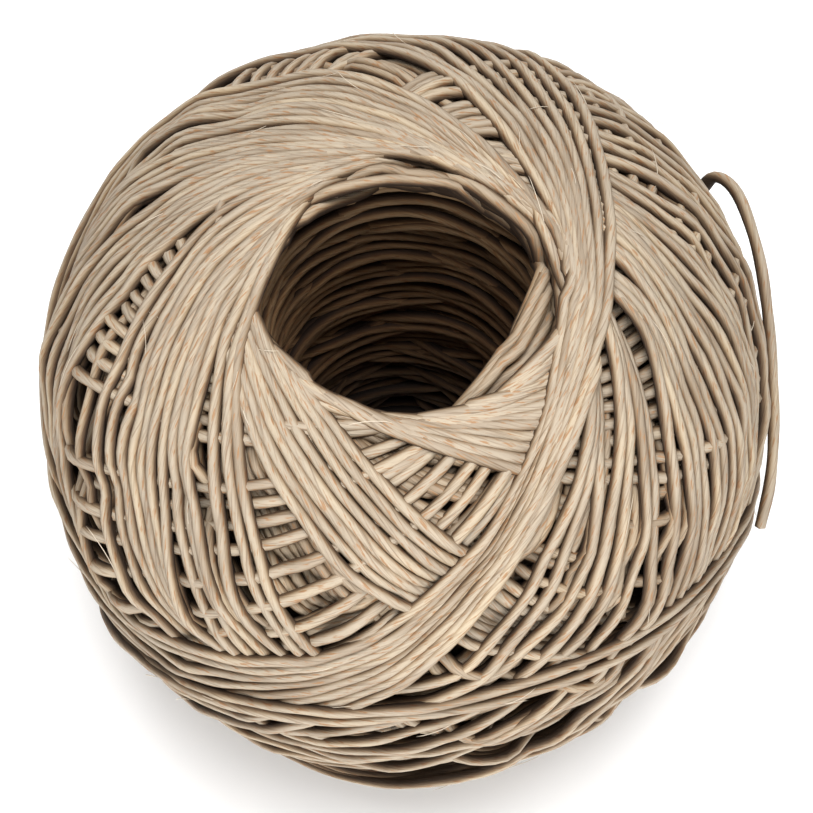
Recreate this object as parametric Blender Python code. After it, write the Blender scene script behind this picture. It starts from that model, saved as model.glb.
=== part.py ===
"""Ball of natural string, standing on one end of its hollow middle.

It is one continuous length of string. `wound_ball` is the solid of its wound form: a thick-walled
ball round a tapered through hole, with the raised bands of its last turns and the hollows that
they leave between them. `loose_end` is the string's free outer end, which stands off the ball's
right side and lies down along it to a bare cut. The fine turns belong to the looks script.

Metres, and degrees in the winding table. +Z is up along the hole, and the ball rests on z = 0.
"""
import math

import bmesh
import bpy
from mathutils import Vector

# The ball's outline: a superellipse turned about Z, cut off flat where the ball rests
BALL_RADIUS = 0.0425
DOME_HALF_HEIGHT = 0.0404
DOME_POWER = 2.6
CENTRE_HEIGHT = 0.0376

# The hole, along X; across Y it is narrower by the oval factor. A tapered mandrel left it.
MOUTH_RADIUS = 0.0192
HOLE_TOP_RADIUS = 0.0156
HOLE_FOOT_RADIUS = 0.0108
HOLE_OVAL = 0.88
TOP_LIP_RADIUS = 0.0032
FOOT_LIP_RADIUS = 0.0026

# The string
STRING_DIAMETER = 0.0015
STRING_COLOUR = (0.50, 0.40, 0.285, 1.0)
STRING_ROUGHNESS = 0.72

# The last turns. A turn lies in a plane that touches the mouth at one azimuth and slopes down by
# the tilt to the far side, and a band is a run of turns from its first azimuth to its last. The
# depth is how far the band's top lies under the newest band's. A later row lies on top.
WINDING_COLUMNS = ("name", "first", "last", "tilt", "rim_radius", "depth")
WINDING = (
    ("old_ladder", 336, 308, 36, 0.0180, 0.0026),
    ("near_chords", 288, 246, 34, 0.0165, 0.0020),
    ("front_band", 214, 174, 32, 0.0180, 0.0016),
    ("side_group", 151, 50, 31, 0.0172, 0.0009),
    ("newest_band", 2, -18, 40, 0.0178, 0.0000),
)
HOLLOW_DEPTH = 0.0036
TURN_STEP = 2.0
BAND_HALF_WIDTH = 0.0014
BAND_EDGE = 0.0022
FOOT_FAMILY_TURN = 130.0

# The loose end's route: it leaves the ball behind the right shoulder, hooks up and out, and
# then comes down outside the ball's widest part to its cut end
LOOSE_END_ROUTE = (
    (0.0346, 0.0268, 0.0380),
    (0.0366, 0.0278, 0.0418),
    (0.0392, 0.0252, 0.0427),
    (0.0415, 0.0192, 0.0405),
    (0.0427, 0.0130, 0.0378),
    (0.0434, 0.0065, 0.0345),
    (0.0437, 0.0000, 0.0312),
    (0.0433, -0.0060, 0.0286),
    (0.0420, -0.0115, 0.0274),
)
POINTS_PER_SPAN = 2

# Mesh fineness
AZIMUTH_STEPS = 112
DOME_STEPS = 25
LIP_STEPS = 5
WALL_STEPS = 6


def clear_scene():
    """Remove every object that the scene starts with."""
    for old in list(bpy.data.objects):
        bpy.data.objects.remove(old, do_unlink=True)


def string_material():
    """The string's plain finish: undyed fibre, slightly polished."""
    material = bpy.data.materials.new("natural_string")
    material.use_nodes = True
    shader = material.node_tree.nodes["Principled BSDF"]
    shader.inputs["Base Color"].default_value = STRING_COLOUR
    shader.inputs["Roughness"].default_value = STRING_ROUGHNESS
    shader.inputs["Metallic"].default_value = 0.0
    return material


def dome_point(angle):
    """The outline's radius and height above the ball's centre, at an angle above its equator."""
    power = 2.0 / DOME_POWER
    radius = BALL_RADIUS * math.cos(angle) ** power
    height = DOME_HALF_HEIGHT * abs(math.sin(angle)) ** power
    return radius, math.copysign(height, angle)


def dome_height(radius):
    """The outline's height above the centre at a radius."""
    share = 1.0 - (radius / BALL_RADIUS) ** DOME_POWER
    return DOME_HALF_HEIGHT * share ** (1.0 / DOME_POWER)


def dome_angle_at_radius(radius):
    """The outline's angle above the equator at a radius."""
    return math.acos((radius / BALL_RADIUS) ** (DOME_POWER / 2.0))


def dome_angle_at_height(height):
    """The outline's angle above the equator at a height above the centre."""
    return math.asin((height / DOME_HALF_HEIGHT) ** (DOME_POWER / 2.0))


def arc(centre, radius, first, last, steps):
    """Points of an arc, its angles measured in degrees from outward through up."""
    points = []
    for step in range(steps + 1):
        angle = math.radians(first + (last - first) * step / steps)
        points.append((centre[0] + radius * math.cos(angle), centre[1] + radius * math.sin(angle)))
    return points


def outline():
    """The closed outline in order, outer side downward: (radius, height, relief share) rows.

    The relief share says how much of the winding's relief a row takes: all of it on the dome,
    and none inside the hole or on the flat foot.
    """
    rows = []
    first = dome_angle_at_radius(MOUTH_RADIUS)
    last = -dome_angle_at_height(CENTRE_HEIGHT)
    for step in range(DOME_STEPS + 1):
        share = step / DOME_STEPS
        radius, height = dome_point(first + (last - first) * share)
        relief = min(1.0, 5.0 * (1.0 - share))
        rows.append((radius, height, relief))
    foot = -CENTRE_HEIGHT
    foot_lip_centre = (HOLE_FOOT_RADIUS + FOOT_LIP_RADIUS, foot + FOOT_LIP_RADIUS)
    for radius, height in arc(foot_lip_centre, FOOT_LIP_RADIUS, 270, 180, LIP_STEPS):
        rows.append((radius, height, 0.0))
    top_lip_centre = (HOLE_TOP_RADIUS + TOP_LIP_RADIUS, dome_height(MOUTH_RADIUS) - TOP_LIP_RADIUS)
    low = rows[-1]
    high = (HOLE_TOP_RADIUS, top_lip_centre[1])
    for step in range(1, WALL_STEPS):
        share = step / WALL_STEPS
        radius = low[0] + (high[0] - low[0]) * share
        height = low[1] + (high[1] - low[1]) * share
        rows.append((radius, height, 0.0))
    top_lip = arc(top_lip_centre, TOP_LIP_RADIUS, 180, 96, LIP_STEPS)
    for step, (radius, height) in enumerate(top_lip):
        rows.append((radius, height, step / LIP_STEPS))
    return rows


def band_planes(band):
    """The planes of a band's turns, each as its upward normal and its distance from the centre."""
    turns = max(1, round(abs(band["last"] - band["first"]) / TURN_STEP))
    tilt = math.radians(band["tilt"])
    planes = []
    for turn in range(turns + 1):
        azimuth = math.radians(band["first"] + (band["last"] - band["first"]) * turn / turns)
        toward_rim = Vector((math.cos(azimuth), math.sin(azimuth), 0.0))
        normal = Vector((0.0, 0.0, math.cos(tilt))) - toward_rim * math.sin(tilt)
        rim_point = toward_rim * band["rim_radius"]
        rim_point.z = dome_height(band["rim_radius"])
        planes.append((normal, normal.dot(rim_point)))
    return planes


def relief_depth(point, bands):
    """How far the wound surface lies under its envelope at a point measured from the centre."""
    depth = HOLLOW_DEPTH
    for band, planes in bands:
        gap = min(abs(normal.dot(point) - distance) for normal, distance in planes)
        share = min(1.0, max(0.0, 1.0 - (gap - BAND_HALF_WIDTH) / BAND_EDGE))
        cover = share * share * (3.0 - 2.0 * share)
        depth = min(depth, HOLLOW_DEPTH + (band["depth"] - HOLLOW_DEPTH) * cover)
    return depth


def wound_depth(point, bands):
    """The relief of both families of turns: the seen one, and its mirror round the lower mouth."""
    turn = math.radians(FOOT_FAMILY_TURN)
    mirrored = Vector((
        point.x * math.cos(turn) - point.y * math.sin(turn),
        point.x * math.sin(turn) + point.y * math.cos(turn),
        -point.z,
    ))
    return min(relief_depth(point, bands), relief_depth(mirrored, bands))


def hole_oval(radius):
    """The factor on Y at a radius: oval in the hole, round again from the shoulder outward."""
    blend = min(1.0, max(0.0, (radius - MOUTH_RADIUS) / (BALL_RADIUS - MOUTH_RADIUS)))
    return HOLE_OVAL + (1.0 - HOLE_OVAL) * min(1.0, 1.6 * blend)


def ball_vertices():
    """The ball's vertices, one ring of azimuths for each row of the outline."""
    rows = outline()
    bands = []
    for values in WINDING:
        band = dict(zip(WINDING_COLUMNS, values))
        bands.append((band, band_planes(band)))
    rings = []
    for index, (radius, height, relief) in enumerate(rows):
        before = rows[index - 1]
        after = rows[(index + 1) % len(rows)]
        along = Vector((after[0] - before[0], after[1] - before[1])).normalized()
        ring = []
        for step in range(AZIMUTH_STEPS):
            azimuth = 2.0 * math.pi * step / AZIMUTH_STEPS
            out = Vector((math.cos(azimuth), math.sin(azimuth), 0.0))
            point = out * radius
            point.y *= hole_oval(radius)
            point.z = height
            if relief > 0.0:
                depth = relief * wound_depth(point, bands)
                point -= (out * -along.y + Vector((0.0, 0.0, along.x))) * depth
            ring.append(point + Vector((0.0, 0.0, CENTRE_HEIGHT)))
        rings.append(ring)
    return rings


def centred(rings):
    """The same rings moved so that the middle of their box lies on the Z axis."""
    points = [point for ring in rings for point in ring]
    middle_x = 0.5 * (min(point.x for point in points) + max(point.x for point in points))
    middle_y = 0.5 * (min(point.y for point in points) + max(point.y for point in points))
    shift = Vector((middle_x, middle_y, 0.0))
    return [[point - shift for point in ring] for ring in rings]


def make_wound_ball(material):
    """One closed solid: the outer winding, the flat foot and the hole, joined ring to ring."""
    mesh = bpy.data.meshes.new("wound_ball")
    shape = bmesh.new()
    rings = []
    for ring in centred(ball_vertices()):
        rings.append([shape.verts.new(point) for point in ring])
    for index, ring in enumerate(rings):
        below = rings[(index + 1) % len(rings)]
        for step in range(AZIMUTH_STEPS):
            beside = (step + 1) % AZIMUTH_STEPS
            shape.faces.new((ring[step], below[step], below[beside], ring[beside]))
    shape.to_mesh(mesh)
    shape.free()
    mesh.shade_smooth()
    mesh.materials.append(material)
    ball = bpy.data.objects.new("wound_ball", mesh)
    bpy.context.scene.collection.objects.link(ball)
    return ball


def smooth_route(route, per_span):
    """Points of a Catmull-Rom curve through a route, its end tangents from the end spans."""
    points = [Vector(place) for place in route]
    padded = [points[0] * 2.0 - points[1]] + points + [points[-1] * 2.0 - points[-2]]
    curve = []
    for index in range(1, len(padded) - 2):
        before, start, end, after = padded[index - 1:index + 3]
        for step in range(per_span):
            t = step / per_span
            curve.append(0.5 * (
                start * 2.0
                + (end - before) * t
                + (before * 2.0 - start * 5.0 + end * 4.0 - after) * t ** 2
                + (start * 3.0 - before - end * 3.0 + after) * t ** 3
            ))
    curve.append(points[-1])
    return curve


def make_loose_end(material):
    """The free outer end of the string, as a round cord with filled ends."""
    curve = bpy.data.curves.new("loose_end", "CURVE")
    curve.dimensions = "3D"
    curve.bevel_depth = STRING_DIAMETER / 2.0
    curve.bevel_resolution = 2
    curve.use_fill_caps = True
    places = smooth_route(LOOSE_END_ROUTE, POINTS_PER_SPAN)
    spline = curve.splines.new("POLY")
    spline.points.add(len(places) - 1)
    for spline_point, place in zip(spline.points, places):
        spline_point.co = (place.x, place.y, place.z, 1.0)
    curve.materials.append(material)
    cord = bpy.data.objects.new("loose_end", curve)
    bpy.context.scene.collection.objects.link(cord)
    return cord


clear_scene()
natural_string = string_material()
make_wound_ball(natural_string)
make_loose_end(natural_string)
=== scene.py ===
"""Looks of the ball of string: every turn wound in order, the hole, the loose end and the light.

The string is wound here as the real one was. Each turn lies in a plane that touches the mouth of
the hole on one side and slopes away on the other, it rests on the turns laid before it, and it is
pulled taut, so that it bridges the hollows. Lengths are in metres, and angles in degrees in the
tables.
"""

import math

import bpy
import numpy as np
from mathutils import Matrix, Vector
from mathutils.geometry import convex_hull_2d


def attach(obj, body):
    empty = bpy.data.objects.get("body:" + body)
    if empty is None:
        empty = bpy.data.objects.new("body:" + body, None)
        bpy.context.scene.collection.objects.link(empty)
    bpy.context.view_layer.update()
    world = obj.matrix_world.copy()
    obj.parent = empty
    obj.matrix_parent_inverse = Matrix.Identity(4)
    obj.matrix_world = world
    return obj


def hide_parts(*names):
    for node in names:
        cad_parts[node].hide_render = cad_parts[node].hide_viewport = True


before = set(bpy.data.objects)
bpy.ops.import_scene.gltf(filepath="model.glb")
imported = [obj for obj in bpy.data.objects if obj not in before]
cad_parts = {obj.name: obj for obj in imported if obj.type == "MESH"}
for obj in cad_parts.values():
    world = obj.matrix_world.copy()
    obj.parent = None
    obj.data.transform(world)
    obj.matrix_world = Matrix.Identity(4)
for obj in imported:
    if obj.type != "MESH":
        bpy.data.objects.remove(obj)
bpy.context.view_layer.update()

RNG = np.random.default_rng(20)

# The string and the ball's outline, the same superellipse as the solid's
STRING_D = 0.0015
BALL_RADIUS = 0.0425
DOME_HALF_HEIGHT = 0.0404
DOME_POWER = 2.6
CENTRE = np.array([0.0, 0.0, 0.0376])
HOLE_TOP_RADIUS = 0.0156
HOLE_FOOT_RADIUS = 0.0108
HOLE_OVAL = 0.88
MOUTH_HEIGHT = 0.0365

# The winding, oldest row first. A turn touches the mouth at an azimuth that goes from the first to
# the last over the row's turns, and so do the tilt of its plane and its distance from the axis.
# side is +1 round the upper mouth and -1 round the lower one.
CORE_SCALE = 0.84
WINDING_COLUMNS = ("name", "side", "turns", "azimuth", "tilt", "rim", "wander")
WINDING = (
    ("foot_base", -1, 84, (700, 340), (33, 33), (0.0168, 0.0168), 0.0014),
    ("top_base", +1, 84, (708, 348), (33, 33), (0.0162, 0.0162), 0.0014),
    ("foot_front", -1, 34, (420, 250), (34, 34), (0.0176, 0.0176), 0.0008),
    ("foot_back", -1, 34, (246, 74), (31, 31), (0.0176, 0.0176), 0.0008),
    ("old_ladder", +1, 10, (366, 300), (37, 41), (0.0154, 0.0150), 0.0004),
    ("near_chords", +1, 10, (292, 234), (34, 41), (0.0142, 0.0138), 0.0003),
    ("front_band", +1, 8, (213, 182), (50, 27), (0.0144, 0.0190), 0.0003),
    ("side_group", +1, 13, (161, 97), (46, 32), (0.0146, 0.0158), 0.0003),
    ("right_group", +1, 12, (97, 55), (44, 51), (0.0172, 0.0154), 0.0003),
    ("right_open", +1, 8, (58, 25), (43, 33), (0.0152, 0.0150), 0.0002),
    ("newest_band", +1, 8, (4, -14), (30, 53), (0.0140, 0.0214), 0.0002),
    ("last_crossing", -1, 2, (110, 105), (46, 44), (0.0175, 0.0175), 0.0002),
)
WINDING_ROWS = [dict(zip(WINDING_COLUMNS, values)) for values in WINDING]
SAMPLES = 640

# How far one turn rides up on another: little where they run side by side, more where they cross,
# less near the mouths, where turns are packed close; and how tall the winding stands
SUNK = 0.0027
STEP_ALONG = 0.32
STEP_ACROSS = 0.60
CREST = 0.38
START_DEPTH = 0.0035
FULL_CROSSING_SINE = 0.7
REST_SHARES = np.linspace(-0.96, 0.96, 9)
RESTING_PASSES = 4
LIP_SINE = 0.36
LIP_RISE = 0.14
LIP_SHARE = 0.25
LIP_COSINE = 0.98
LIP_DEPTH = 0.0022
LIP_STEP = 0.30
SETTLE_ROWS = 9.0
PRESSED_DEPTH = 0.006
STANDS_OUT = 0.0018
TURNS_PER_SETTLING = 4
STEADY_DIGITS = 8

# How unevenly the rows are wound: each walk's width in turns, and the tilt's size in degrees
TILT_WALK_TURNS = 2.0
TILT_WALK_SIZE = 1.0
RIM_WALK_TURNS = 0.8
WALK_MARGIN = 10
WALK_GAIN = 1.9

# The field that holds the top of the winding, by colatitude and azimuth
ROWS, COLS = 480, 960
ROW_THETA = (np.arange(ROWS) + 0.5) * math.pi / ROWS

# Meshes of the strings: sides of the round, every how many samples a ring, girth, what is kept
SIDES = 8
BASE_SIDES = 6
LOOSE_END_SIDES = 12
FIBRE_SIDES = 3
BASE_ROWS = ("foot_base", "top_base")
NODE_STEP = 4
FLATTENING = 0.92
SLUB = 0.07
SLUB_RANGE = (-1.6, 2.2)
SLUB_LENGTH = 0.011
PLY = 0.06
PLY_PITCH = 0.0085
CLOSED_END = 0.1
SEEN_FROM_HOLE = 0.0205
HIDDEN_DEPTH = 0.0020
RIM_DEPTH = 0.0030
RUN_MARGIN = 5
SHORTEST_RUN = 6
FLOOR_STEP = 0.0004
BAKE_ROW_SHARE = 0.82
SHADE_SCALE = 100.0
LONGEST_START = 8.0

# The hole's wall: arcs of old turns. Heights are in strings' thickness, and angles in degrees.
WALL_PITCH = 0.85
WALL_ARCS = 5
WALL_ARC_POINTS = 28
WALL_TURN = 2.4
WALL_ENDS = (0.0015, 0.0020)
WALL_SIDE_SPLIT = (-0.02, 0.01)
WALL_HEIGHT = (-0.8, 0.8)
WALL_LEAN = (14.0, 40.0)
WALL_HALF_ARC = (50.0, 74.0)
WALL_HUGS = (18.0, 34.0)
WALL_BEHIND = (0.0, 1.3)

# The bulk under the turns, dark with painted shade
CORE_COLATITUDES = (28.0, 152.0, 60)
CORE_HEIGHTS = (-0.030, 0.031, 14)
CORE_WALL_GAP = 0.0026
CORE_STEPS = 128
CORE_SHADE_SCALE = 20.0

# Stray fibres
FIBRES = 110
FIBRES_FROM_ROW = 4
FIBRE_END_MARGIN = 20
FIBRE_LOWEST = -0.75
FIBRE_LENGTH = (0.0020, 0.0058)
FIBRE_LIFT = (0.06, 0.30)
FIBRE_SWAY = (-0.5, 0.5)
FIBRE_GIRTH = (0.05, 0.085)
FIBRE_POINTS = 7


class Field:
    """The topmost turns as seen from the ball's centre: distance, direction of the string."""

    def __init__(self):
        above_lip = np.sin(ROW_THETA) - LIP_SINE
        filled = np.clip(above_lip / LIP_SINE, LIP_SHARE, 1.0)
        self.target = outline_distance(ROW_THETA) - SUNK * filled
        self.level = np.repeat((self.target - START_DEPTH * filled)[:, None], COLS, axis=1)
        self.along = np.zeros((ROWS, COLS, 3))
        self.ease = LIP_STEP + (1.0 - LIP_STEP) * np.clip(above_lip / LIP_RISE, 0.0, 1.0)

    def cells(self, points):
        """Row and column of the cell that each point lies in, and its distance."""
        distance = np.linalg.norm(points, axis=-1)
        theta = np.arccos(np.clip(points[..., 2] / distance, -1.0, 1.0))
        phi = np.arctan2(points[..., 1], points[..., 0]) % (2 * math.pi)
        row = np.clip((theta * ROWS / math.pi).astype(int), 0, ROWS - 1)
        col = (phi * COLS / (2 * math.pi)).astype(int) % COLS
        return row, col, distance

    def resting(self, points, along, across):
        """The distance that the string's middle needs at each point to lie on what is there."""
        need = np.zeros(len(points))
        for share in REST_SHARES:
            row, col, _ = self.cells(points + across * (share * STRING_D))
            cosine = np.abs(np.einsum("ij,ij->i", self.along[row, col], along))
            laid = np.linalg.norm(self.along[row, col], axis=-1)
            sine = np.sqrt(np.clip(1.0 - cosine ** 2, 0.0, 1.0)) * laid
            crossing = np.clip(sine / FULL_CROSSING_SINE, 0.0, 1.0)
            step = STEP_ALONG + (STEP_ACROSS - STEP_ALONG) * crossing
            lift = STRING_D * step * math.sqrt(1.0 - share ** 2) * self.ease[row]
            need = np.maximum(need, self.level[row, col] + lift)
        return need

    def lay(self, points, along, across):
        """Mark the string's own width round each point as the new top."""
        for share in np.linspace(-CREST, CREST, 5):
            row, col, distance = self.cells(points + across * (share * STRING_D))
            distance = steadied(distance)
            higher = distance > self.level[row, col]
            row, col, distance = row[higher], col[higher], distance[higher]
            self.level[row, col] = distance
            self.along[row, col] = along[higher]

    def settle(self, lines):
        """Press what is laid inward wherever the winding's top stands out over the outline."""
        rough = np.clip(1.0 / np.sin(ROW_THETA), 1.0, 3.0)
        spectrum = np.fft.rfft(smooth(self.level, SETTLE_ROWS), axis=1)
        wave = np.arange(spectrum.shape[1])[None, :]
        width = SETTLE_ROWS * math.pi / ROWS * rough[:, None]
        top = np.fft.irfft(spectrum * np.exp(-0.5 * (wave * width) ** 2), n=COLS, axis=1)
        shift = np.maximum(np.minimum(self.target[:, None] - top, 0.0), -0.5 * PRESSED_DEPTH)
        depth = (self.target[:, None] - self.level) / PRESSED_DEPTH
        self.level = steadied(self.level + shift * np.clip(1.0 - depth, 0.0, 1.0))
        for line in lines:
            row, col, distance = self.cells(line)
            depth = (self.target[row] - distance) / PRESSED_DEPTH
            give = shift[row, col] * np.clip(1.0 - depth, 0.0, 1.0)
            line[:] = steadied(line * (1.0 + give / distance)[:, None])


def steadied(values):
    """Values to the nearest 10 nm, so that last bits that differ between runs don't add up."""
    return np.round(values, STEADY_DIGITS)


def pressed(distance, outline):
    """A distance drawn in, the more so the further a string stands out over the outline."""
    over = np.maximum(distance - outline + 0.5 * STRING_D, 0.0)
    return distance - over + STANDS_OUT * (1.0 - np.exp(-over / STANDS_OUT))


def outline_distance(theta):
    """The outline's distance from the centre in a direction, by colatitude, flat at the foot."""
    flat = np.abs(np.sin(theta) / BALL_RADIUS) ** DOME_POWER
    tall = np.abs(np.cos(theta) / DOME_HALF_HEIGHT) ** DOME_POWER
    distance = (flat + tall) ** (-1.0 / DOME_POWER)
    down = np.maximum(-np.cos(theta), 1e-9)
    return np.minimum(distance, CENTRE[2] / down)


def dome_height(radius):
    """The outline's height above the centre at a radius."""
    share = 1.0 - (radius / BALL_RADIUS) ** DOME_POWER
    return DOME_HALF_HEIGHT * share ** (1.0 / DOME_POWER)


def unit(vectors):
    """Vectors brought to length one."""
    return vectors / np.linalg.norm(vectors, axis=-1, keepdims=True)


def smooth(values, width, closed=False):
    """Values averaged along their first axis with a bell curve of that many samples."""
    reach = max(1, int(3 * width))
    bell = np.exp(-0.5 * (np.arange(-reach, reach + 1) / width) ** 2)
    bell /= bell.sum()
    mode = "wrap" if closed else "edge"
    flat = values.reshape(len(values), -1)
    padded = np.pad(flat, ((reach, reach), (0, 0)), mode=mode)
    columns = [np.convolve(padded[:, i], bell, mode="valid") for i in range(flat.shape[1])]
    return np.stack(columns, axis=1).reshape(values.shape)


def taut(angles, distances):
    """The distances of the tight string round a turn, given those it can't lie inside."""
    flat = np.stack([distances * np.cos(angles), distances * np.sin(angles)], axis=1)
    hull = sorted(convex_hull_2d([tuple(point) for point in flat]))
    corners = flat[hull]
    corner_angles = angles[hull]
    place = np.searchsorted(corner_angles, angles, side="right") - 1
    start = corners[place]
    end = corners[(place + 1) % len(corners)]
    edge = end - start
    ray = np.stack([np.cos(angles), np.sin(angles)], axis=1)
    crossed = start[:, 0] * edge[:, 1] - start[:, 1] * edge[:, 0]
    facing = ray[:, 0] * edge[:, 1] - ray[:, 1] * edge[:, 0]
    return np.maximum(distances * 0.999, crossed / np.where(np.abs(facing) < 1e-12, 1e-12, facing))


def wind_turn(field, side, azimuths, tilts, rims):
    """Lay one turn on the field and give its middle line, from the ball's centre.

    azimuths, tilts and rims each give the value at the turn's start and at its end. The mouth's
    lip bears the turn at LIP_DEPTH under the outline, or higher where turns laid before lie on it.
    """
    angles = np.linspace(0.0, 2 * math.pi, SAMPLES, endpoint=False)
    share = angles / (2 * math.pi)
    azimuth = np.radians(azimuths[0] + (azimuths[1] - azimuths[0]) * share)
    lean = np.radians(tilts[0] + (tilts[1] - tilts[0]) * share)
    rim = rims[0] + (rims[1] - rims[0]) * share
    cos_a, sin_a = np.cos(azimuth), np.sin(azimuth)
    normal = np.stack([-np.sin(lean) * cos_a, -np.sin(lean) * sin_a, side * np.cos(lean)], axis=1)
    oval = np.sqrt(cos_a ** 2 + (HOLE_OVAL * sin_a) ** 2)
    touch = np.stack([rim * oval * cos_a, rim * oval * sin_a, side * dome_height(rim)], axis=1)
    offset = np.einsum("ij,ij->i", normal, touch)
    toward = np.stack([np.cos(lean) * cos_a, np.cos(lean) * sin_a, side * np.sin(lean)], axis=1)
    beside = np.stack([-sin_a, cos_a, np.zeros(SAMPLES)], axis=1)
    ray = toward * np.cos(angles)[:, None] + beside * np.sin(angles)[:, None]
    middle = normal * offset[:, None]
    lip = np.einsum("ij,ij->i", toward, touch) - LIP_DEPTH
    borne = np.where(np.cos(angles) > LIP_COSINE, lip / np.cos(angles), 0.0)
    reach = steadied(np.sqrt(BALL_RADIUS ** 2 - offset ** 2))
    for _ in range(RESTING_PASSES):
        points = middle + ray * reach[:, None]
        along = unit(np.gradient(points, axis=0))
        need = smooth(field.resting(points, along, normal), 3.0, closed=True)
        reach = steadied(np.sqrt(np.maximum(need ** 2 - offset ** 2, 1e-8)))
    reach = steadied(smooth(taut(angles, np.maximum(reach, borne)), 2.5, closed=True))
    points = middle + ray * reach[:, None]
    along = unit(np.gradient(points, axis=0))
    field.lay(points, along, normal)
    return points


def wander(count, width, size):
    """A smooth random walk about zero, one value for each end of count turns."""
    steps = RNG.normal(0.0, 1.0, count + 1 + 2 * WALK_MARGIN)
    walk = smooth(steps, width)[WALK_MARGIN:-WALK_MARGIN]
    return steadied(walk * size * math.sqrt(width) * WALK_GAIN)


def wind(field, row, laid):
    """Lay a row of the winding, adding the middle line of each turn to those laid before."""
    turns = row["turns"]
    azimuths = np.linspace(*row["azimuth"], turns + 1)
    tilts = np.linspace(*row["tilt"], turns + 1)
    tilts += wander(turns, TILT_WALK_TURNS, TILT_WALK_SIZE)
    rims = np.linspace(*row["rim"], turns + 1)
    rims += wander(turns, RIM_WALK_TURNS, row["wander"])
    for turn in range(turns):
        pair = slice(turn, turn + 2)
        laid.append(wind_turn(field, row["side"], azimuths[pair], tilts[pair], rims[pair]))
        if turn % TURNS_PER_SETTLING == 0:
            field.settle(laid)


def shown(field, line):
    """Which points of a laid string show, from outside or from the hole."""
    along = unit(np.gradient(line, axis=0))
    out = unit(line)
    across = unit(np.cross(along, out))
    cover = np.full(len(line), 1.0)
    for share in (-1.0, -0.5, 0.0, 0.5, 1.0):
        row, col, distance = field.cells(line + across * (share * STRING_D))
        cover = np.minimum(cover, field.level[row, col] - distance)
    row, _, distance = field.cells(line)
    near_hole = np.hypot(line[:, 0], line[:, 1]) < SEEN_FROM_HOLE
    return (cover < HIDDEN_DEPTH) | (near_hole & (field.target[row] - distance < RIM_DEPTH))


def runs(flags, margin, shortest):
    """First and last index of each stretch that shows, a little widened."""
    wide = np.convolve(flags.astype(float), np.ones(2 * margin + 1), mode="same") > 0.5
    edges = np.flatnonzero(np.diff(np.concatenate([[0], wide.astype(int), [0]])))
    return [(a, b) for a, b in zip(edges[::2], edges[1::2]) if b - a >= shortest]


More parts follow.
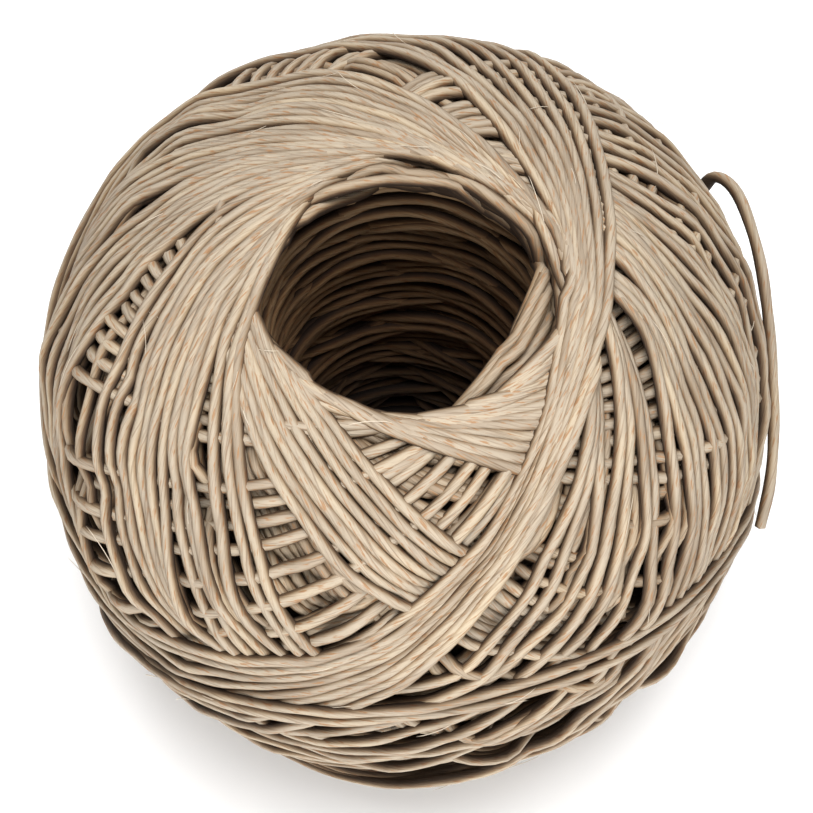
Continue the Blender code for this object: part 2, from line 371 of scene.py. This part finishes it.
class Strings:
    """Arrays of one piece's strings: round tubes with a shading map and a bake map."""

    def __init__(self, sides):
        self.sides = sides
        self.points = []
        self.faces = []
        self.shade = []
        self.strips = []
        self.count = 0

    def add(self, line, facing, slub=SLUB, start=0.0, thick=1.0):
        """Add a string along a middle line. facing is its outer side, away from what it lies on."""
        along = unit(np.gradient(line, axis=0))
        out = unit(facing - along * np.einsum("ij,ij->i", facing, along)[:, None])
        side = np.cross(along, out)
        steps = np.linalg.norm(np.diff(line, axis=0), axis=1)
        travel = np.concatenate([[0.0], np.cumsum(steps)])
        count = len(line)
        knots = max(4, int(travel[-1] / SLUB_LENGTH) + 4)
        bumps = np.interp(np.linspace(0, knots - 1, count), np.arange(knots),
                          RNG.normal(0.0, 1.0, knots))
        girth = (1.0 + slub * np.clip(bumps, *SLUB_RANGE)) * thick
        girth[0] *= CLOSED_END
        girth[-1] *= CLOSED_END
        turn = np.linspace(0.0, 2 * math.pi, self.sides, endpoint=False) - math.pi / 2
        twist = travel[:, None] * (2 * math.pi / PLY_PITCH)
        radius = 0.5 * STRING_D * girth[:, None] * (1.0 + PLY * np.cos(2 * turn[None, :] - twist))
        ring = (side[:, None, :] * (radius * np.cos(turn))[..., None]
                + out[:, None, :] * (radius * np.sin(turn) * FLATTENING)[..., None])
        self.points.append((line[:, None, :] + ring).reshape(-1, 3))
        first = self.count + np.arange(count - 1)[:, None] * self.sides
        here = np.arange(self.sides)[None, :]
        beside = (here + 1) % self.sides
        faces = np.stack([first + here, first + self.sides + here,
                          first + self.sides + beside, first + beside], axis=-1)
        self.faces.append(faces.reshape(-1, 4))
        self.count += count * self.sides
        self.strips.append((travel[:-1], steps))
        low = (start + travel[:-1])[:, None] * SHADE_SCALE + 0.0 * here
        high = (start + travel[1:])[:, None] * SHADE_SCALE + 0.0 * here
        around = STRING_D * math.pi * SHADE_SCALE
        left = here / self.sides * around + 0.0 * low
        right = (here + 1) / self.sides * around + 0.0 * low
        corners = np.stack([np.stack([low, left], -1), np.stack([high, left], -1),
                            np.stack([high, right], -1), np.stack([low, right], -1)], axis=2)
        self.shade.append(corners.reshape(-1, 2))

    def bake_map(self):
        """Corners of the bake map: the strings end to end, cut into rows that fill the square."""
        total = sum(travel[-1] + steps[-1] + 2 * STRING_D for travel, steps in self.strips)
        girth = math.pi * STRING_D / BAKE_ROW_SHARE
        width = math.sqrt(total * girth)
        corners = []
        begun = 0.0
        rows = math.ceil(total / width) + 1
        longest = max(steps.max() for _, steps in self.strips)
        here = np.arange(self.sides)[None, :] / self.sides
        beside = here + 1.0 / self.sides
        for travel, steps in self.strips:
            place = begun + travel
            row = np.floor(place / width)
            low = ((place - row * width) / (width + longest))[:, None] + 0.0 * here
            high = low + (steps / (width + longest))[:, None]
            gap = 0.5 * (1.0 - BAKE_ROW_SHARE)
            left = (row[:, None] + gap + BAKE_ROW_SHARE * here) / rows
            right = (row[:, None] + gap + BAKE_ROW_SHARE * beside) / rows
            corners.append(np.stack([np.stack([low, left], -1), np.stack([high, left], -1),
                                     np.stack([high, right], -1), np.stack([low, right], -1)],
                                    axis=2).reshape(-1, 2))
            begun += travel[-1] + steps[-1] + 2 * STRING_D
        return np.concatenate(corners)

    def build(self, name, material):
        """The piece: one joined mesh of all its strings."""
        points = np.concatenate(self.points) + CENTRE
        points[:, 2] = np.maximum(points[:, 2], 0.0)
        mesh = bpy.data.meshes.new(name)
        mesh.from_pydata(points.tolist(), [], np.concatenate(self.faces).tolist())
        for layer, corners in (("string", np.concatenate(self.shade)), ("OFBake", self.bake_map())):
            uv = mesh.uv_layers.new(name=layer)
            uv.data.foreach_set("uv", corners.astype(np.float32).ravel())
        mesh.uv_layers["string"].active = True
        mesh.uv_layers["string"].active_render = True
        return add_piece(name, mesh, material)


def add_piece(name, mesh, material):
    """Put a mesh in the scene as a piece of the ball."""
    mesh.shade_smooth()
    mesh.materials.append(material)
    piece = bpy.data.objects.new(name, mesh)
    bpy.context.scene.collection.objects.link(piece)
    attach(piece, "root")
    return piece


def rest_on_floor(line, age):
    """Press the turns under the ball flat on the surface, the newest ones lowest."""
    floor = 0.5 * STRING_D * FLATTENING - CENTRE[2] + age * FLOOR_STEP
    flat = line.copy()
    flat[:, 2] = np.maximum(flat[:, 2], floor)
    return flat


def make_turns(field, lines, shaded_base_material, new_material):
    """The pieces of the outer winding, one for each row of the table."""
    made = []
    for index, (row, line) in enumerate(zip(WINDING_ROWS, lines)):
        under = row["name"] in BASE_ROWS
        strings = Strings(BASE_SIDES if under else SIDES)
        line = rest_on_floor(line, 1.0 - index / len(lines))
        for a, b in runs(shown(field, line)[::NODE_STEP], RUN_MARGIN, SHORTEST_RUN):
            part = line[::NODE_STEP][a:b]
            strings.add(part, unit(part), start=RNG.uniform(0.0, LONGEST_START))
        # The base rows take the copy darkened with painted shade
        material = shaded_base_material if under else new_material
        made.append(strings.build("turns_" + row["name"], material))
    return made


def hole_radius(height):
    """The hole's radius along X at a height above the centre."""
    share = (height + CENTRE[2]) / (MOUTH_HEIGHT + CENTRE[2])
    return HOLE_FOOT_RADIUS + (HOLE_TOP_RADIUS - HOLE_FOOT_RADIUS) * share


def make_hole_wall(material):
    """The sides of the hole: the near-level parts of old turns, each an arc that dips behind."""
    strings = Strings(BASE_SIDES)
    levels = int((MOUTH_HEIGHT + CENTRE[2] - WALL_ENDS[1]) / (STRING_D * WALL_PITCH))
    for level in range(levels):
        base = -CENTRE[2] + WALL_ENDS[0] + level * STRING_D * WALL_PITCH
        side = 1.0 if base > RNG.uniform(*WALL_SIDE_SPLIT) else -1.0
        for place in range(WALL_ARCS):
            turned = (place + RNG.uniform(0.0, 1.0)) * 2 * math.pi / WALL_ARCS
            middle = turned + level * WALL_TURN
            height = base + RNG.uniform(*WALL_HEIGHT) * STRING_D
            lean = math.radians(RNG.uniform(*WALL_LEAN))
            half = math.radians(RNG.uniform(*WALL_HALF_ARC))
            swing = np.linspace(-half, half, WALL_ARC_POINTS)
            free = np.maximum(np.abs(swing) - math.radians(RNG.uniform(*WALL_HUGS)), 0.0)
            deep = RNG.uniform(*WALL_BEHIND) * STRING_D
            radius = (hole_radius(height) + 0.5 * STRING_D + deep) / np.cos(free)
            azimuth = middle + swing
            drop = side * math.tan(lean) * radius * (1.0 - np.cos(swing))
            line = np.stack([radius * np.cos(azimuth), radius * HOLE_OVAL * np.sin(azimuth),
                             height - drop], axis=1)
            inward = np.stack([-np.cos(azimuth), -np.sin(azimuth), np.zeros(len(swing))], axis=1)
            line[:, 2] = np.maximum(line[:, 2], 0.5 * STRING_D - CENTRE[2])
            strings.add(line, inward, start=RNG.uniform(0.0, LONGEST_START))
    return strings.build("hole_wall_turns", material)


def make_core(material):
    """The bulk of turns laid before, under all that shows, dark brown with painted shade."""
    rows = []
    for theta in np.radians(np.linspace(*CORE_COLATITUDES)):
        distance = float(outline_distance(np.array([theta]))[0]) * CORE_SCALE
        rows.append((distance * math.sin(theta), distance * math.cos(theta), 1.0))
    for height in np.linspace(*CORE_HEIGHTS):
        rows.append((hole_radius(height) + CORE_WALL_GAP, height, HOLE_OVAL))
    points, faces = [], []
    steps = CORE_STEPS
    for radius, height, oval in rows:
        for step in range(steps):
            azimuth = 2 * math.pi * step / steps
            points.append((radius * math.cos(azimuth), radius * oval * math.sin(azimuth),
                           height + CENTRE[2]))
    for index in range(len(rows)):
        below = (index + 1) % len(rows)
        for step in range(steps):
            beside = (step + 1) % steps
            faces.append((index * steps + step, below * steps + step,
                          below * steps + beside, index * steps + beside))
    mesh = bpy.data.meshes.new("core")
    mesh.from_pydata(points, [], faces)
    grid = [((step + right) / steps, (index + down) / len(rows))
            for index in range(len(rows)) for step in range(steps)
            for right, down in ((0, 0), (0, 1), (1, 1), (1, 0))]
    for layer, size in (("string", CORE_SHADE_SCALE), ("OFBake", 1.0)):
        uv = mesh.uv_layers.new(name=layer)
        uv.data.foreach_set("uv", (np.array(grid, np.float32) * size).ravel())
    return add_piece("core", mesh, material)


# The loose end: where it comes from, under the last turns, and then its route, as the solid's
LOOSE_END_UNDER = (0.0310, 0.0248, 0.0351)
LOOSE_END_ROUTE = (
    (0.0346, 0.0268, 0.0380),
    (0.0366, 0.0278, 0.0418),
    (0.0392, 0.0252, 0.0427),
    (0.0415, 0.0192, 0.0405),
    (0.0427, 0.0130, 0.0378),
    (0.0434, 0.0065, 0.0345),
    (0.0437, 0.0000, 0.0312),
    (0.0433, -0.0060, 0.0286),
    (0.0420, -0.0115, 0.0274),
)
POINTS_PER_SPAN = 5
CUT_SHARE = 0.2
LOOSE_END_SLUB = 0.03
LOOSE_END_UPWARD = 1.4


def smooth_route(route, per_span):
    """Points of a Catmull-Rom curve through a route, its end tangents from the end spans."""
    points = [Vector(place) for place in route]
    padded = [points[0] * 2.0 - points[1]] + points + [points[-1] * 2.0 - points[-2]]
    curve = []
    for index in range(1, len(padded) - 2):
        before, start, end, after = padded[index - 1:index + 3]
        for step in range(per_span):
            t = step / per_span
            curve.append(0.5 * (
                start * 2.0
                + (end - before) * t
                + (before * 2.0 - start * 5.0 + end * 4.0 - after) * t ** 2
                + (start * 3.0 - before - end * 3.0 + after) * t ** 3
            ))
    curve.append(points[-1])
    return np.array([tuple(point) for point in curve])


def make_loose_end(material):
    """The string's free outer end, with a bare cut."""
    line = smooth_route((LOOSE_END_UNDER, *LOOSE_END_ROUTE), POINTS_PER_SPAN)
    cut = line[-1] + (line[-2] - line[-1]) * CUT_SHARE
    line = np.concatenate([line[:-1], [cut], line[-1:]])
    strings = Strings(LOOSE_END_SIDES)
    out = unit((line - CENTRE) * np.array([1.0, 1.0, 0.0]))
    out[:, 2] += LOOSE_END_UPWARD
    strings.add(line - CENTRE, out, slub=LOOSE_END_SLUB)
    piece = strings.build("loose_string_end", material)
    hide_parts("loose_end")
    return piece


def make_fibres(lines, material):
    """Short stray hairs that stand off the turns that show."""
    strings = Strings(FIBRE_SIDES)
    for _ in range(FIBRES):
        line = lines[RNG.integers(len(lines))]
        place = RNG.integers(FIBRE_END_MARGIN, len(line) - FIBRE_END_MARGIN)
        out = unit(line[place])
        if out[2] < FIBRE_LOWEST:
            continue
        along = unit(line[place + 4] - line[place - 4]) * RNG.choice((-1.0, 1.0))
        beside = np.cross(out, along)
        length = RNG.uniform(*FIBRE_LENGTH)
        lift = RNG.uniform(*FIBRE_LIFT)
        sway = RNG.uniform(*FIBRE_SWAY)
        share = np.linspace(0.0, 1.0, FIBRE_POINTS)[:, None]
        rise = 0.46 * STRING_D + length * lift * share * (1.3 - 0.6 * share)
        turned = along * share + beside * sway * share ** 2
        strings.add(line[place] + turned * length + out * rise, out + 0.0 * turned,
                    start=RNG.uniform(0.0, LONGEST_START), thick=RNG.uniform(*FIBRE_GIRTH))
    return strings.build("stray_fibres", material)


def node(tree, kind, place, **settings):
    """Add a shader node, with its plain settings and the values of its sockets."""
    made = tree.nodes.new(kind)
    made.location = place
    for key, value in settings.items():
        if key.startswith("in_"):
            made.inputs[key[3:].replace("_", " ")].default_value = value
        else:
            setattr(made, key, value)
    return made


def srgb(red, green, blue, alpha=1.0):
    """A colour given as screen values from 0 to 255, as linear light."""
    linear = [((v / 255 + 0.055) / 1.055) ** 2.4 for v in (red, green, blue)]
    return (*linear, alpha)


# Painted shade multiplied into the colour: round the string, darker away from its outer side, and up
# the hole, darker towards its foot
FLANK_SHADE_STOPS = ((0.12, srgb(255, 255, 255)), (0.27, srgb(214, 202, 186)), (0.38, srgb(148, 130, 112)),
               (0.56, srgb(84, 70, 57)))
HOLE_SHADE_STOPS = ((0.10, srgb(118, 103, 88)), (0.45, srgb(190, 170, 150)), (0.72, srgb(208, 190, 170)),
               (0.95, srgb(226, 214, 198)))
FLECK_COLOUR = srgb(148, 111, 76)


def ramp(tree, place, source, stops):
    """A colour ramp fed by a value."""
    made = tree.nodes.new("ShaderNodeValToRGB")
    made.location = place
    tree.links.new(source, made.inputs["Fac"])
    elements = made.color_ramp.elements
    for index, (position, colour) in enumerate(stops):
        element = elements[index] if index < len(elements) else elements.new(position)
        element.position = position
        element.color = colour
    return made.outputs["Color"]


def multiplied(tree, place, first, second):
    """Two colours multiplied."""
    made = node(tree, "ShaderNodeMix", place, data_type="RGBA", blend_type="MULTIPLY")
    made.inputs["Factor"].default_value = 1.0
    tree.links.new(first, made.inputs["A"])
    tree.links.new(second, made.inputs["B"])
    return made.outputs["Result"]


def string_material(name, pale, dark, hole_shade_stops=None):
    """Undyed plant fibre, lightly twisted: fine streaks along it, flecks, and flanks darkened with
    painted shade.

    The shading map runs in centimetres: along the string, and round it from the side it lies on.
    hole_shade_stops gives a ramp over the height in the hole: painted shade, darker towards the
    hole's foot.
    """
    material = bpy.data.materials.new(name)
    material.use_nodes = True
    tree = material.node_tree
    shader = tree.nodes["Principled BSDF"]
    link = tree.links.new
    uv = node(tree, "ShaderNodeUVMap", (-1500, 0), uv_map="string")
    split = node(tree, "ShaderNodeSeparateXYZ", (-1330, 0))
    link(uv.outputs["UV"], split.inputs[0])
    sheared = node(tree, "ShaderNodeMath", (-1160, -120), operation="MULTIPLY_ADD")
    sheared.inputs[1].default_value = 0.22
    link(split.outputs["X"], sheared.inputs[0])
    link(split.outputs["Y"], sheared.inputs[2])
    fibre_space = node(tree, "ShaderNodeCombineXYZ", (-990, 0))
    link(split.outputs["X"], fibre_space.inputs["X"])
    link(sheared.outputs[0], fibre_space.inputs["Y"])

    def noise(place, scale, detail, rough=0.55):
        stretch = node(tree, "ShaderNodeVectorMath", (place[0], place[1]), operation="MULTIPLY")
        stretch.inputs[1].default_value = scale
        link(fibre_space.outputs[0], stretch.inputs[0])
        made = node(tree, "ShaderNodeTexNoise", (place[0] + 170, place[1]))
        made.inputs["Scale"].default_value = 1.0
        made.inputs["Detail"].default_value = detail
        made.inputs["Roughness"].default_value = rough
        link(stretch.outputs[0], made.inputs["Vector"])
        return made.outputs["Fac"]

    streak = noise((-800, 260), (1.4, 42.0, 1.0), 4.0)
    patch = noise((-800, 0), (0.5, 1.5, 1.0), 2.0)
    fleck = noise((-800, -260), (5.0, 30.0, 1.0), 2.0)
    groove = noise((-800, -520), (2.5, 70.0, 1.0), 3.0)

    base = ramp(tree, (-440, 260), streak, ((0.32, dark), (0.50, pale), (0.80, pale)))
    tint = ramp(tree, (-440, 0), patch, ((0.30, srgb(205, 194, 180)), (0.50, srgb(236, 230, 220)),
                                          (0.72, srgb(255, 246, 228))))
    spots = ramp(tree, (-440, -260), fleck, ((0.565, (0, 0, 0, 1)), (0.655, (0.85, 0.85, 0.85, 1))))
    flecked = node(tree, "ShaderNodeMix", (0, 120), data_type="RGBA")
    link(spots, flecked.inputs["Factor"])
    link(multiplied(tree, (-180, 160), base, tint), flecked.inputs["A"])
    flecked.inputs["B"].default_value = FLECK_COLOUR
    half_girth = 0.5 * SHADE_SCALE * math.pi * STRING_D
    away = node(tree, "ShaderNodeMath", (-440, -700), operation="SUBTRACT")
    away.inputs[1].default_value = half_girth
    link(split.outputs["Y"], away.inputs[0])
    round_from_top = node(tree, "ShaderNodeMath", (-280, -700), operation="ABSOLUTE")
    link(away.outputs[0], round_from_top.inputs[0])
    share = node(tree, "ShaderNodeMath", (-120, -700), operation="DIVIDE")
    share.inputs[1].default_value = half_girth
    link(round_from_top.outputs[0], share.inputs[0])
    # Painted shade: the string darker round its flanks, towards the creases where it meets the turns
    # beside and under it
    flank_shade = ramp(tree, (40, -700), share.outputs[0], FLANK_SHADE_STOPS)
    colour = multiplied(tree, (240, 60), flecked.outputs["Result"], flank_shade)
    # Painted shade in the hole, darker the lower it lies
    if hole_shade_stops:
        place = node(tree, "ShaderNodeTexCoord", (-440, -950))
        heights = node(tree, "ShaderNodeSeparateXYZ", (-280, -950))
        link(place.outputs["Object"], heights.inputs[0])
        depth = node(tree, "ShaderNodeMath", (-120, -950), operation="MULTIPLY")
        depth.inputs[1].default_value = 1.0 / (MOUTH_HEIGHT + float(CENTRE[2]))
        link(heights.outputs["Z"], depth.inputs[0])
        painted_hole_shade = ramp(tree, (40, -950), depth.outputs[0], hole_shade_stops)
        colour = multiplied(tree, (420, 60), colour, painted_hole_shade)
    link(colour, shader.inputs["Base Color"])
    shader.inputs["Roughness"].default_value = 0.78
    shader.inputs["Specular IOR Level"].default_value = 0.3
    bump = node(tree, "ShaderNodeBump", (-180, -420))
    bump.inputs["Strength"].default_value = 0.7
    bump.inputs["Distance"].default_value = 0.00018
    link(groove, bump.inputs["Height"])
    link(bump.outputs["Normal"], shader.inputs["Normal"])
    return material


def plain_material(name, colour, roughness):
    """A plain finish, for the floor and the bulk, which is dark with painted shade."""
    material = bpy.data.materials.new(name)
    material.use_nodes = True
    shader = material.node_tree.nodes["Principled BSDF"]
    shader.inputs["Base Color"].default_value = colour
    shader.inputs["Roughness"].default_value = roughness
    return material


def aim(thing, target):
    """Turn a light or camera to look at a point."""
    direction = Vector(target) - thing.location
    thing.rotation_mode = "QUATERNION"
    thing.rotation_quaternion = direction.to_track_quat("-Z", "Y")


CAMERA_ELEVATION = 71.0
CAMERA_DISTANCE = 0.4845
SEEN_WIDTH = 0.0956
TARGET_SHIFT = Vector((0.0, 0.0004, 0.0))


def make_camera():
    """A long lens above the front, looking down into the hole."""
    data = bpy.data.cameras.new("camera")
    data.sensor_width = 36.0
    data.lens = data.sensor_width * CAMERA_DISTANCE / SEEN_WIDTH
    data.clip_start = 0.01
    data.clip_end = 10.0
    camera = bpy.data.objects.new("camera", data)
    bpy.context.scene.collection.objects.link(camera)
    lift = math.radians(CAMERA_ELEVATION)
    target = Vector(CENTRE) + TARGET_SHIFT
    back = Vector((0.0, -math.cos(lift), math.sin(lift)))
    camera.location = target + back * CAMERA_DISTANCE
    aim(camera, target)
    bpy.context.scene.camera = camera


LIGHTS = (
    # name, place, size, watts
    ("key", (0.03, 0.09, 0.80), 0.60, 9.5),
    ("fill_front", (-0.02, -0.62, 0.22), 0.60, 5.2),
)
SURROUND_STRENGTH = 0.36


def make_lights():
    """Two large soft lights, one above and one in front, in an even pale surround."""
    for name, place, size, watts in LIGHTS:
        data = bpy.data.lights.new(name, "AREA")
        data.shape = "DISK"
        data.size = size
        data.energy = watts
        light = bpy.data.objects.new(name, data)
        bpy.context.scene.collection.objects.link(light)
        light.location = place
        aim(light, CENTRE)
    world = bpy.data.worlds.new("world")
    world.use_nodes = True
    surround = world.node_tree.nodes["Background"]
    surround.inputs["Color"].default_value = (1.0, 1.0, 1.0, 1.0)
    surround.inputs["Strength"].default_value = SURROUND_STRENGTH
    bpy.context.scene.world = world
    bpy.context.scene.view_settings.view_transform = "Standard"


def make_floor():
    """A plain pale floor."""
    bpy.ops.mesh.primitive_plane_add(size=3.0, location=(0.0, 0.0, 0.0))
    floor = bpy.context.active_object
    floor.name = "floor"
    floor.data.materials.append(plain_material("floor", (0.92, 0.92, 0.92, 1.0), 0.9))


make_camera()
make_lights()
make_floor()
natural = string_material("natural_string", srgb(177, 167, 154), srgb(140, 126, 111))
# Painted shade: a darker copy of the string for the base rows, which lie deep under the newer turns
shaded_base_string = string_material("base_string_painted_shade", srgb(168, 155, 139), srgb(130, 115, 98))
# Painted shade: a darker copy of the string for the hole's wall, dimmed further towards the hole's
# foot
shaded_hole_string = string_material("hole_string_painted_shade", srgb(176, 158, 136), srgb(134, 115, 94), HOLE_SHADE_STOPS)
loose = make_loose_end(natural)

top = Field()
laid = []
for row in WINDING_ROWS:
    wind(top, row, laid)
lines = []
for row in WINDING_ROWS:
    line = smooth(np.concatenate(laid[:row["turns"]]), 2.0)
    _, _, distance = top.cells(line)
    outline = outline_distance(np.arccos(line[:, 2] / distance))
    lines.append(line * (pressed(distance, outline) / distance)[:, None])
    laid = laid[row["turns"]:]
top.level = pressed(top.level, outline_distance(ROW_THETA)[:, None])
pieces = make_turns(top, lines, shaded_base_string, natural)
pieces.append(make_hole_wall(shaded_hole_string))
# Painted shade: the bulk is coloured dark brown where it shows between the turns
pieces.append(make_core(plain_material("core_shade", srgb(104, 86, 67), 0.9)))
pieces.append(make_fibres(lines[FIBRES_FROM_ROW:], plain_material("fibre", srgb(196, 182, 162), 0.7)))
for piece in pieces:
    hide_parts("wound_ball")
